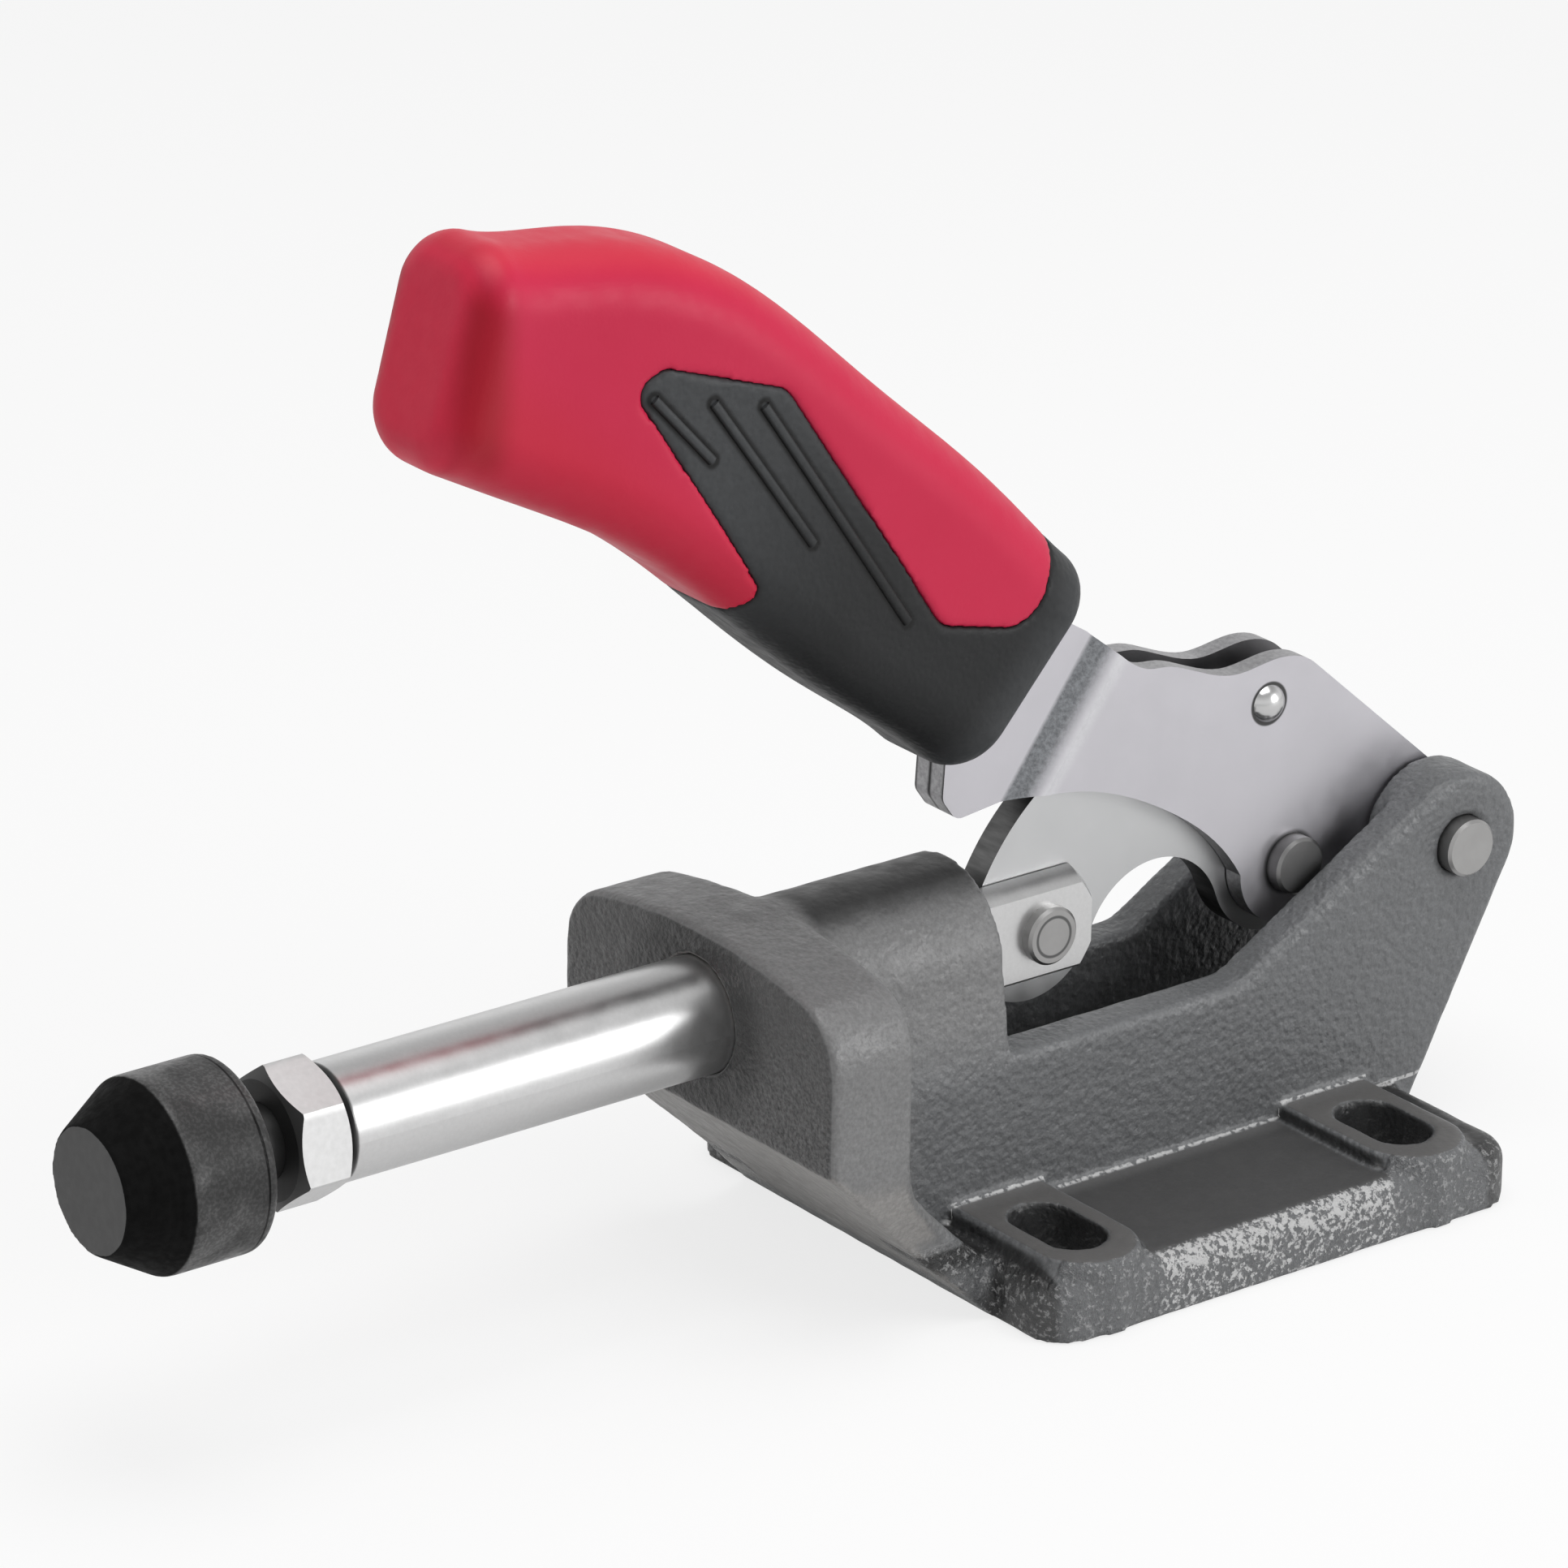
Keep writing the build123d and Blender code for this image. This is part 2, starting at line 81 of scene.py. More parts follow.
# casting; its pads and slots lie at PAD_ROW either side of the middle
FLANGE_FACE = -67.7
FLANGE_BACK = -54.1
GUIDE_END = -26.2
PLATE_TOP = 8.6
PAD_TOP = 10.7
PAD_ROW = 28.4
PAD_HALF = 7.9
PAD_INNER = PAD_ROW - PAD_HALF
WALL_SIDE = 14.5
TROUGH_SIDE = 8.6
SLOT_SIDE = 27.4
SLOT_HALF = 3.25
SLOT_R = 4.45
CREASE_SIDE = 28.0

# lever; the joggle is the bend between its head and its tang
PLATE_THICK = 3.0
JOGGLE_FOOT = (-19.4, 53.7)
JOGGLE_LEAN = math.radians(35.8)
JOGGLE_END = 4.6
RIVET_HEAD_R = 2.7
RIVET_SHANK_R = 2.0
RIVET_SEAT = 5.35
RIVET_RISE = 1.6
RIVET_STEPS = 48
DOME_STEPS = 8

# grip, the slanting hollow near its tip and the ribs, on both its sides
GRIP_START = (-22.0, 81.7)
GRIP_LEAN = math.radians(41.5)
HOLLOW_ALONG = 104.5
HOLLOW_LEVEL = -12.0
HOLLOW_SLANT = 0.78
RIB_LINES = (
    ((-83.2, 132.1), (-74.7, 122.6)),
    ((-74.4, 130.0), (-58.9, 108.3)),
    ((-66.7, 128.2), (-43.4, 94.3)),
)
RIB_WIDTH = 1.5
RIB_HEIGHT = 0.45
RIB_WIRE_X = 20.0
RIB_STEPS = 72
RIB_SIDES = 20

# ------------------------------------------------------------------ zones of the finishes, in millimetres
# a mask is nothing at the first number and full at the second
RIM_X = (36.0, 36.6)
RIM_Y = (36.8, 37.6)
WEB_Y = (-39.0, -50.0)
GUIDE_FLANK_Z = (26.0, 38.0)
CROWN_Z = (45.0, 50.0)
WEB_UNDER_Y = (-30.0, -40.0)
WEB_UNDER_Z = (3.0, 5.0)
TROUGH_FOOT_Z = (3.0, 4.0)
TROUGH_TOP_Z = (30.6, 29.0)
PLUNGER_SHADOW_Z = (52.0, 30.0)
BORE_SHADE_R = (17.0, 11.0)
SHOULDER_Z = (4.0, 7.0)
# places of painted shade on the corner blocks, in the crease and round the feet of the pads
CORNER_X = (26.2, 27.2)
CORNER_Y = (36.2, 37.2)
CREASE_Y = (-36.9, -37.6)
CREASE_Z = (7.0, 5.0)
PAD_END_Y = (35.9, 36.4)
PAD_END_Z = (5.8, 8.6)
PAD_SIDE_Z = (8.5, 9.1)
PAD_EDGE_Z = (10.5, 9.9)
# rings of painted shade round the rivet and the link pin, and painted shadow on the link pin's head
RIVET_RING_R = (3.3, 3.0)
LINK_PIN_RING_R = (4.9, 4.2)
LINK_PIN_HEAD_R = (6.0, 5.0)
LEVER_OUTSIDE_X = (4.9, 5.3)
GRIP_SIDE_X = (9.0, 10.0)
# painted glow at the grip's tip, painted shade below, painted sheen along it and at its heel, and painted
# shade in its hollow
GRIP_TIP = (88.0, 98.0)
GRIP_BELOW = (-6.0, -17.0)
GRIP_SHEEN = (30.0, 72.0)
GRIP_HEEL = (7.0, -2.0)
HOLLOW_REACH = (8.5, 1.0)
HOLLOW_SIDE_X = (5.5, 9.0)

# bands fade in over their first pair and out over their second
# painted highlight on the joggle's crest, painted shade in its valley, in the pins' groove and in the grip's
# hollow
JOGGLE_CREST = ((-2.2, -0.6), (1.0, 0.0))
JOGGLE_VALLEY = ((0.2, 2.6), (JOGGLE_END + 0.2, JOGGLE_END - 0.5))
PIN_GROOVE_R = ((2.5, 2.7), (3.1, 2.9))
HOLLOW_ABOVE = ((-27.0, -20.0), (1.0, -8.0))

# ------------------------------------------------------------------ directions of a surface
# how far it faces along an axis, from -1 to 1: a mask is nothing at the first number and full at the second
FLAT_UP = (0.9, 0.985)
RIM_UP = (0.985, 0.93)
SHOULDER_UP = (0.97, 0.9)
CROWN_UP = (0.72, 0.98)
GRIP_UP = (0.5, 0.9)
NOT_DOWN = (-0.35, -0.1)
WEB_DOWN = (-0.05, -0.3)
FLANGE_FRONT = (-0.8, -0.96)
GRIP_FRONT = (-0.5, -0.8)
CAP_FRONT = (-0.9, -0.97)
CONE_FRONT = (-0.25, -0.45)
SHEARED_EDGE = (0.6, 0.3)
NUT_END = (0.1, 0.3)

# ------------------------------------------------------------------ tones
# greys of one tone
FOOT_TONE = 0.14
# painted highlight on the glossy rims and along the wall line
GLINT_HIGHLIGHT_TONE = 0.58
# painted shade: in the crease, in the slots, round the bore, on the guide's crown and in the trough
CREASE_SHADE_TONE = 0.008
SLOT_SHADE_TONE = 0.012
BORE_SHADE_TONE = 0.02
CROWN_SHADE_TONE = 0.022
HOLLOW_SHADE_TONE = 0.03

# shares of the tone between and on the grains of the casting, and greys of its flange face as (above, below)
GRIT_SHARES = (0.86, 1.1)
# the flange face's greys are darker below: painted shadow under the plunger
FACE_PIT_TONE = (0.07, 0.035)
FACE_GRIT_TONE = (0.1, 0.13)

# greys as (darker, lighter, warmth)
WALL_TONE = (0.118, 0.14, -0.03)
# painted light: the flanks are lighter, as if lit from the side
FLANK_PAINTED_LIGHT_TONE = (0.158, 0.18, -0.004)
# painted light from the white floor on the web's underside
UNDERSIDE_PAINTED_BOUNCE_TONE = (0.2, 0.27, 0.03)
GROUND_TONE = (0.048, 0.058)
PAD_TONE = (0.085, 0.1, 0.02)
# painted shade on the corner blocks
CORNER_SHADE_TONE = (0.012, 0.095)
CHROME_TONE = (0.54, 0.66)
NUT_TONE = (0.56, 0.68)
PIN_TONE = (0.3, 0.38, 0.01)
LINK_FACE_TONE = (0.5, 0.55, -0.008)
LINK_EDGE_TONE = (0.05, 0.21)
# painted highlight on the joggle's crest and painted shade in its valley
CREST_HIGHLIGHT_TONE = (0.6, 0.72, -0.012)
VALLEY_SHADE_TONE = (0.1, 0.23, -0.05)
SHEARED_TONE = (0.16, 0.36)
BLACK_TONE = (0.012, 0.018, -0.04)
# painted sheen
SHEEN_TONE = (0.034, 0.06, -0.05)
CAP_FACE_TONE = (0.107, 0.118)
CAP_CONE_TONE = (0.0, 0.003)

# colours as red, green and blue
ZINC_COLOURS = ((0.49, 0.481, 0.508), (0.54, 0.53, 0.56))
RED_COLOURS = ((0.5, 0.011, 0.05), (0.55, 0.017, 0.064))
# painted glow at the tip, painted shade below, painted light on top and painted shade in the hollow
RED_TIP_GLOW_COLOURS = ((0.62, 0.022, 0.06), (0.7, 0.03, 0.07))
RED_SHADE_BELOW = (0.5, 0.012, 0.028)
RED_LIT_ON_TOP = (0.6, 0.035, 0.055)
RED_HOLLOW_SHADE = (0.32, 0.002, 0.012)

# ------------------------------------------------------------------ camera, floor and lights
# places in metres, turns in degrees, lens and sensor in millimetres
CAMERA_PLACE = (0.79346, -0.66486, 0.47581)
CAMERA_TURN = (67.9537, -0.7442, 52.6974)
CAMERA_LENS = 191.5
CAMERA_SENSOR = 36.0
FLOOR_HALF = 4.0
FLOOR_Z = -0.0002
FLOOR_SEEN = 0.78
FLOOR_IN_METAL = 0.3
SURROUND_LIGHT = 0.38
CEILING_SHADE = 0.75
LAMP_AIM = (0, -0.04, 0.05)


# ------------------------------------------------------------------ nodes
class Signal:
    """A node's output that takes part in sums and products."""

    def __init__(self, nodes, socket):
        self.nodes = nodes
        self.socket = socket

    def calc(self, operation, *terms, clamp=False):
        settings = {"operation": operation, "use_clamp": clamp}
        return self.nodes.add("ShaderNodeMath", settings=settings, at=dict(enumerate(terms)))

    def __add__(self, other):
        return self.calc("ADD", self, other)

    def __radd__(self, other):
        return self.calc("ADD", other, self)

    def __sub__(self, other):
        return self.calc("SUBTRACT", self, other)

    def __rsub__(self, other):
        return self.calc("SUBTRACT", other, self)

    def __mul__(self, other):
        return self.calc("MULTIPLY", self, other)

    def __rmul__(self, other):
        return self.calc("MULTIPLY", other, self)

    def __truediv__(self, other):
        return self.calc("DIVIDE", self, other)

    def __rtruediv__(self, other):
        return self.calc("DIVIDE", other, self)

    def __neg__(self):
        return self.calc("MULTIPLY", self, -1.0)

    def __abs__(self):
        return self.calc("ABSOLUTE", self)

    def root(self):
        return self.calc("SQRT", self)

    def clipped(self):
        return self.calc("ADD", self, 0.0, clamp=True)

    def sign(self):
        return self.calc("SIGN", self)

    def least(self, other):
        return self.calc("MINIMUM", self, other)

    def most(self, other):
        return self.calc("MAXIMUM", self, other)

    def beside(self, name):
        """Another output of the same node."""
        return Signal(self.nodes, self.socket.node.outputs[name])


def span(a, b):
    """Length over two steps that stand square to each other."""
    return (a * a + b * b).root()


class Nodes:
    """A node tree, and the one way in which nodes are put into it."""

    def __init__(self, tree):
        self.tree = tree

    def plug(self, socket, value):
        if isinstance(value, Signal):
            self.tree.links.new(value.socket, socket)
        else:
            socket.default_value = value

    def add(self, kind, out=0, settings=None, at=None, **sockets):
        """Node of that kind, its settings made first, then its sockets by number (at) and by name."""
        node = self.tree.nodes.new(kind)
        for key, value in (settings or {}).items():
            setattr(node, key, value)
        for index, value in (at or {}).items():
            self.plug(node.inputs[index], value)
        for key, value in sockets.items():
            self.plug(node.inputs[key.replace("_", " ")], value)
        return Signal(self, node.outputs[out])

    def parts(self, vector):
        """The X, Y and Z of a vector."""
        x = self.add("ShaderNodeSeparateXYZ", Vector=vector)
        return x, x.beside("Y"), x.beside("Z")


# ------------------------------------------------------------------ tools for the finishes
def grey(value, warm=0.0):
    """Grey with more red and less blue where it is warm."""
    return (value * (1 + warm), value, value * (1 - warm))


class Finish(Nodes):
    """A material: its shader's constants, and nodes for what changes over the surface."""

    def __init__(self, name, **constants):
        self.material = bpy.data.materials.new(name)
        self.material.use_nodes = True
        super().__init__(self.material.node_tree)
        self.shader = self.tree.nodes["Principled BSDF"]
        self.set(**constants)
        self.place = self.add("ShaderNodeTexCoord", out="Object")
        self.x, self.y, self.z = (part * 1000 for part in self.parts(self.place))

    def set(self, **values):
        for socket, value in values.items():
            self.plug(self.shader.inputs[socket.replace("_", " ")], value)

    def noise(self, size_mm, detail=3.0, rough=0.5, where=None):
        return self.add("ShaderNodeTexNoise", out="Fac", Vector=where or self.place, Scale=1000 / size_mm,
                        Detail=detail, Roughness=rough)

    def cells(self, size_mm):
        return self.add("ShaderNodeTexVoronoi", out="Distance", settings={"feature": "SMOOTH_F1"},
                        Vector=self.place, Scale=1000 / size_mm)

    def streaks(self, fine_mm, stretch, detail):
        """Fine lines drawn out along X."""
        place = self.add("ShaderNodeMapping", Vector=self.place, Scale=(1 / stretch, 1.0, 1.0))
        return self.noise(fine_mm, detail, where=place)

    def between(self, value, low, high, to_low=0.0, to_high=1.0):
        """Smooth step of a value from low to high."""
        return self.add("ShaderNodeMapRange", settings={"interpolation_type": "SMOOTHSTEP"}, Value=value,
                        From_Min=low, From_Max=high, To_Min=to_low, To_Max=to_high)

    def band(self, value, rise, fall):
        """Mask that fades in over the first pair of values and out over the second."""
        return self.between(value, *rise) * self.between(value, *fall)

    def spread(self, pattern, low=0.0, high=1.0):
        """The middle of a noise's range drawn out from low to high."""
        return self.between(pattern, 0.3, 0.7, low, high)

    def mix(self, factor, a, b):
        """Colour that goes from a to b with the factor."""
        a, b = ((*colour, 1) if isinstance(colour, tuple) else colour for colour in (a, b))
        return self.add("ShaderNodeMix", out=2, settings={"data_type": "RGBA"}, at={0: factor, 6: a, 7: b})

    def greys(self, factor, low, high, warm=0.0):
        """Grey that goes from low to high with the factor."""
        return self.mix(factor, grey(low, warm), grey(high, warm))

    def scaled(self, colour, share):
        return self.add("ShaderNodeVectorMath", settings={"operation": "SCALE"}, Vector=colour, Scale=share)

    def facing(self):
        """Parts of the surface's own direction along the object's X, Y and Z, each from -1 to 1."""
        spaces = {"vector_type": "NORMAL", "convert_from": "WORLD", "convert_to": "OBJECT"}
        normal = self.add("ShaderNodeNewGeometry", out="Normal")
        return self.parts(self.add("ShaderNodeVectorTransform", settings=spaces, Vector=normal))

    def from_pin(self, y, z):
        """Distance in millimetres from a line along X."""
        return span(self.y - y, self.z - z)

    def from_plunger(self):
        """Distance in millimetres from the plunger's axis."""
        return span(self.z - AXIS_Z, self.x)

    def along(self, start, lean):
        """Millimetres from a place of the side view along a line that leans to the front, and above it."""
        dy = self.y - start[0]
        dz = self.z - start[1]
        cos, sin = math.cos(lean), math.sin(lean)
        return dz * sin - dy * cos, dy * sin + dz * cos

    def from_line(self, start, end):
        """Distance in millimetres from a straight stretch of the side view, round at its ends."""
        run, rise = end[0] - start[0], end[1] - start[1]
        dy = self.y - start[0]
        dz = self.z - start[1]
        share = ((dy * run + dz * rise) / (run ** 2 + rise ** 2)).clipped()
        return span(dy - share * run, dz - share * rise)

    def relief(self, height, depth_mm, strength):
        self.set(Normal=self.add("ShaderNodeBump", out="Normal", Height=height, Distance=depth_mm * MM,
                                 Strength=strength))


# ------------------------------------------------------------------ finishes
class CastingPaint(Finish):
    """Grey enamel over a sand casting: hammered walls, smooth ground tops, glossy runs on the rims, and
    painted light, shade and highlights.
    """

    def __init__(self):
        super().__init__("casting_paint", IOR=1.5)
        self.side_x = abs(self.x)
        self.side_y = abs(self.y)
        _, self.face_y, self.face_z = self.facing()
        self.cloud = self.noise(9.0, 3.0)
        self.lump = self.noise(0.85, 4.0, 0.7)
        self.pit = self.noise(2.6, 4.0, 0.6)
        self.find_base()
        self.find_body()
        self.gloss = (self.rim_glints() + self.wall_line_glint()).clipped()
        rough = self.spread(self.noise(2.5), 0.38, 0.52)
        self.set(Base_Color=self.base_colour(self.body_colour()),
                 Roughness=rough - self.gloss * 0.2 - self.rim * 0.08)
        self.relief(self.height(), 0.3, 0.9)

    def find_base(self):
        """Masks of the base: its level ground, the tops of its pads, and the rounded rim outside them."""
        self.on_base = self.between(self.side_x, WALL_SIDE + 0.1, WALL_SIDE + 0.6)
        self.flat = self.between(self.face_z, *FLAT_UP)
        self.low = self.between(self.z, PAD_TOP + 0.6, PAD_TOP + 0.2)
        self.ground_top = self.flat * self.low * self.on_base
        self.pad_top = self.ground_top * self.between(self.z, PLATE_TOP + 0.6, PAD_TOP - 0.5)
        outside = self.between(self.side_x, *RIM_X).most(self.between(self.side_y, *RIM_Y) * self.on_base)
        self.rim = self.low * self.between(self.face_z, *RIM_UP) * outside

    def find_body(self):
        """Masks of the flange's face, the flanks, the guide's crown, the web's underside and the hollow, which
        get painted light and shade.
        """
        at_face = self.between(self.y, FLANGE_FACE + 2.0, FLANGE_FACE + 0.8)
        self.front_face = self.between(self.face_y, *FLANGE_FRONT) * at_face
        before_end = self.between(self.y, GUIDE_END + 0.6, GUIDE_END - 0.6)
        beside_guide = before_end * self.between(self.z, *GUIDE_FLANK_Z)
        beside_face = (1 - self.front_face) * self.between(self.face_z, *NOT_DOWN)
        self.lit_flank = self.between(self.y, *WEB_Y).most(beside_guide) * beside_face
        behind_flange = self.between(self.y, FLANGE_BACK - 0.5, FLANGE_BACK + 2.5)
        on_guide = behind_flange * self.between(self.y, GUIDE_END + 0.5, GUIDE_END - 0.5)
        self.crown = self.between(self.face_z, *CROWN_UP) * on_guide * self.between(self.z, *CROWN_Z)
        below_web = self.between(self.z, *WEB_UNDER_Z) * self.between(self.y, *WEB_UNDER_Y)
        self.under = self.between(self.face_z, *WEB_DOWN) * below_web
        in_trough = self.between(self.side_x, TROUGH_SIDE + 0.15, TROUGH_SIDE - 0.1)
        behind_guide = self.between(self.y, GUIDE_END - 0.4, GUIDE_END + 0.2)
        self.hollow = in_trough * behind_guide * self.band(self.z, TROUGH_FOOT_Z, TROUGH_TOP_Z)

    def body_colour(self):
        """Hammered grey and a rough flange face, with painted light on the flanks and the web's underside, and
        painted shade low on the flange face, round the bore, on the guide's crown and in the hollow.
        """
        grit = self.between(self.noise(0.55, 3.0, 0.6), 0.32, 0.68)
        tone = self.greys(self.cloud, *WALL_TONE)
        # painted light on the flanks
        tone = self.mix(self.lit_flank, tone, self.greys(self.cloud, *FLANK_PAINTED_LIGHT_TONE))
        # painted light from the floor on the web's underside
        tone = self.mix(self.under, tone, self.greys(self.pit, *UNDERSIDE_PAINTED_BOUNCE_TONE))
        pit_share, grit_share = GRIT_SHARES
        tone = self.mix(grit, self.scaled(tone, pit_share), self.scaled(tone, grit_share))
        # the flange face darkens downwards: painted shadow under the plunger, over its grain
        plunger_shadow = self.between(self.z, *PLUNGER_SHADOW_Z)
        face_tone = self.mix(grit, self.greys(plunger_shadow, *FACE_PIT_TONE), self.greys(plunger_shadow, *FACE_GRIT_TONE))
        tone = self.mix(self.front_face, tone, face_tone)
        # painted shade round the plunger's bore
        bore_shade = self.front_face * self.between(self.from_plunger(), *BORE_SHADE_R)
        tone = self.mix(bore_shade * 0.8, tone, grey(BORE_SHADE_TONE))
        # painted shade on the guide's crown
        tone = self.mix(self.crown * 0.9, tone, grey(CROWN_SHADE_TONE))
        # painted shade in the trough behind the guide
        return self.mix(self.hollow * 0.6, tone, grey(HOLLOW_SHADE_TONE))

    def base_colour(self, tone):
        """A colour with the base laid over it: dark ground, lighter pads, painted highlights on the glossy
        rims, and painted shade on the corner blocks, along the crease, at the pads' feet and in the slots.
        """
        tone = self.mix(self.ground_top, tone, self.greys(self.cloud, *GROUND_TONE))
        tone = self.mix(self.pad_top, tone, self.greys(self.cloud, *PAD_TONE))
        foot = self.between(self.side_x, WALL_SIDE + 4.0, WALL_SIDE + 1.2) * self.ground_top
        tone = self.mix(foot * 0.5, tone, grey(FOOT_TONE))
        corner = self.between(self.side_x, *CORNER_X) * self.between(self.side_y, *CORNER_Y) * self.low
        # painted shade, mottled by the lumps, on the sides of the corner blocks
        tone = self.mix(corner * (1 - self.flat) * 0.9, tone, self.greys(self.lump, *CORNER_SHADE_TONE))
        # painted shade in the crease and round the feet of the pads
        tone = self.mix(self.crease_shade() * 0.9, tone, grey(CREASE_SHADE_TONE))
        # painted highlight where the rims and the wall line are glossy
        tone = self.mix(self.gloss * 0.88, tone, grey(GLINT_HIGHLIGHT_TONE))
        # painted shade on the walls of the slots
        return self.mix(self.slot_shade() * (1 - self.flat) * 0.85, tone, grey(SLOT_SHADE_TONE))

    def rim_glints(self):
        """Glossy runs along the rounded rims, fuller between the pads, which also get a painted highlight."""
        between_pads = self.between(self.side_y, PAD_INNER + 0.5, PAD_INNER - 1.0)
        shoulder = self.between(self.z, *SHOULDER_Z) * self.between(self.face_z, *SHOULDER_UP)
        swell = self.lump + between_pads * (shoulder * 0.07 + 0.03) + self.noise(4.0) * 0.1
        return self.between(swell, 0.585, 0.675) * self.rim * (0.4 + 0.6 * between_pads)

    def wall_line_glint(self):
        """Broken glossy line where the walls meet the base and its pads, lightened as a painted highlight."""
        near_pad = self.between(abs(self.side_y - PAD_ROW), PAD_HALF + 0.3, PAD_HALF - 0.1)
        from_ground = abs(self.z - (PLATE_TOP + 0.15) - near_pad * (PAD_TOP - PLATE_TOP))
        beside_wall = self.between(self.side_x, WALL_SIDE + 1.0, WALL_SIDE + 0.5)
        broken = self.between(self.noise(0.9, 3.0), 0.38, 0.52)
        behind_web = self.between(self.y, GUIDE_END - 12.0, GUIDE_END - 10.0)
        return self.between(from_ground + self.lump * 0.5, 0.62, 0.42) * beside_wall * broken * behind_web

    def crease_shade(self):
        """Painted shade in the crease along the front edge of the base and round the feet of the pads."""
        edge = self.between(abs(self.side_x - CREASE_SIDE), 2.4, 0.6) * self.between(self.y, *CREASE_Y)
        pad_end = self.between(self.side_y, *PAD_END_Y) * self.between(self.z, *PAD_END_Z)
        pad_side = self.between(abs(self.side_y - PAD_INNER), 1.0, 0.4) * self.between(self.z, *PAD_SIDE_Z)
        undercut_shade = pad_end.most(pad_side) * self.between(self.z, *PAD_EDGE_Z) * self.on_base
        return (edge * self.between(self.z, *CREASE_Z)).most(undercut_shade)

    def slot_shade(self):
        """Mask of painted shade on the walls of the mounting slots."""
        past_end = (abs(self.side_x - SLOT_SIDE) - SLOT_HALF).most(0.0)
        return self.between(span(past_end, self.side_y - PAD_ROW), SLOT_R + 0.5, SLOT_R + 0.05)

    def height(self):
        """Pebbled walls, a pitted flange face and lumpy rims."""
        pebble = self.cells(1.1) * 0.9 + self.noise(0.65, 2.0) * 0.6
        smooth = (self.ground_top * 0.8 + self.lit_flank * 0.3 + self.crown * 0.5).clipped()
        walls = pebble * (1 - smooth) * (1 + self.front_face * 0.7)
        return walls + self.pit * self.front_face * 1.2 + self.lump * self.rim * 2.2


def plated(name, roughness):
    """Satin metal with a faint cloud in its gloss; gives the cloud too, and leaves the colour to be set."""
    f = Finish(name, Metallic=1.0)
    cloud = f.noise(9.0, 4.0, 0.6)
    f.set(Roughness=f.spread(cloud, roughness - 0.04, roughness + 0.05))
    f.relief(f.noise(0.6, 2.0), 0.008, 0.5)
    return f, cloud


def plain_plating(name, tone, roughness):
    """Plating of one tone."""
    f, cloud = plated(name, roughness)
    f.set(Base_Color=f.greys(cloud, tone * 0.95, tone))
    return f


def lever_zinc():
    """Zinc plated sheet with dark sheared edges: mottled painted highlight and shade at the joggle, and
    painted shade at the tang's plate borders, on the inner faces and round the pins.
    """
    f, _ = plated("lever_zinc", 0.4)
    face_x, _, _ = f.facing()
    worn = f.spread(f.noise(0.7, 4.0, 0.75))
    bend, _ = f.along(JOGGLE_FOOT, JOGGLE_LEAN)
    crest = f.band(bend, *JOGGLE_CREST)
    valley = f.band(bend, *JOGGLE_VALLEY)
    on_tang = f.between(bend, JOGGLE_END + 1.0, JOGGLE_END + 3.0)
    edge = f.between(abs(face_x), *SHEARED_EDGE)
    edge_border_shade = f.between(abs(abs(f.x) - PLATE_THICK / 2), PLATE_THICK * 0.3, PLATE_THICK / 2)
    inner_face_shade = f.between(f.x * face_x, -0.5, -1.0) * (1 - on_tang)
    rivet_ring_shade = f.between(f.from_pin(*STOP_RIVET), *RIVET_RING_R)
    pin_ring_shade = f.between(f.from_pin(*LINK_PIN), *LINK_PIN_RING_R) * f.between(f.x, *LEVER_OUTSIDE_X)
    tone = f.mix(f.noise(14.0, 4.0, 0.6), *ZINC_COLOURS)
    # painted highlight on the joggle's crest and painted shade in its valley
    tone = f.mix(crest * 0.35, tone, f.greys(worn, *CREST_HIGHLIGHT_TONE))
    tone = f.mix(valley * 0.92, tone, f.greys(worn, *VALLEY_SHADE_TONE))
    tone = f.mix(edge * 0.7, tone, f.greys(worn, *SHEARED_TONE))
    # painted shade at the rounded borders of the tang's plate ends and in the gap between them
    tone = f.mix(edge * on_tang * edge_border_shade, tone, grey(0.03))
    # painted shade on the plates' inner faces, between the two plates
    tone = f.mix(inner_face_shade * 0.8, tone, grey(0.07))
    # painted shade round the rivet and the link pin
    f.set(Base_Color=f.mix(rivet_ring_shade.most(pin_ring_shade * 0.85), tone, grey(0.07)))
    return f


def link_steel():
    """Bright rolled faces and dark sheared edges."""
    f, cloud = plated("link_steel", 0.38)
    face_x, _, _ = f.facing()
    edge = f.between(abs(face_x), *SHEARED_EDGE)
    sheared = f.greys(f.streaks(0.8, 6.0, 4.0), *LINK_EDGE_TONE)
    f.set(Base_Color=f.mix(edge, f.greys(cloud, *LINK_FACE_TONE), sheared))
    return f


def pin_zinc():
    """Zinc plated pins: painted shade in a turned groove in the clevis pin's heads, and painted shadow on the
    link pin.
    """
    f, _ = plated("pin_zinc", 0.36)
    groove = f.band(f.from_pin(*CLEVIS_PIN), *PIN_GROOVE_R)
    link_pin_shadow = f.between(f.from_pin(*LINK_PIN), *LINK_PIN_HEAD_R)
    tone = f.greys(f.noise(4.0, 4.0, 0.6), *PIN_TONE)
    # painted shadow on the link pin
    tone = f.mix(link_pin_shadow * 0.7, tone, grey(0.15))
    # painted shade in the clevis pin's groove
    f.set(Base_Color=f.mix(groove, tone, grey(0.12)))
    return f


def nut_zinc():
    """Bright matt flats and darker turned ends."""
    f, _ = plated("nut_zinc", 0.55)
    _, face_y, _ = f.facing()
    end = f.between(abs(face_y), *NUT_END)
    f.set(Base_Color=f.mix(end, f.greys(f.noise(0.8, 3.0), *NUT_TONE), grey(0.1)))
    return f


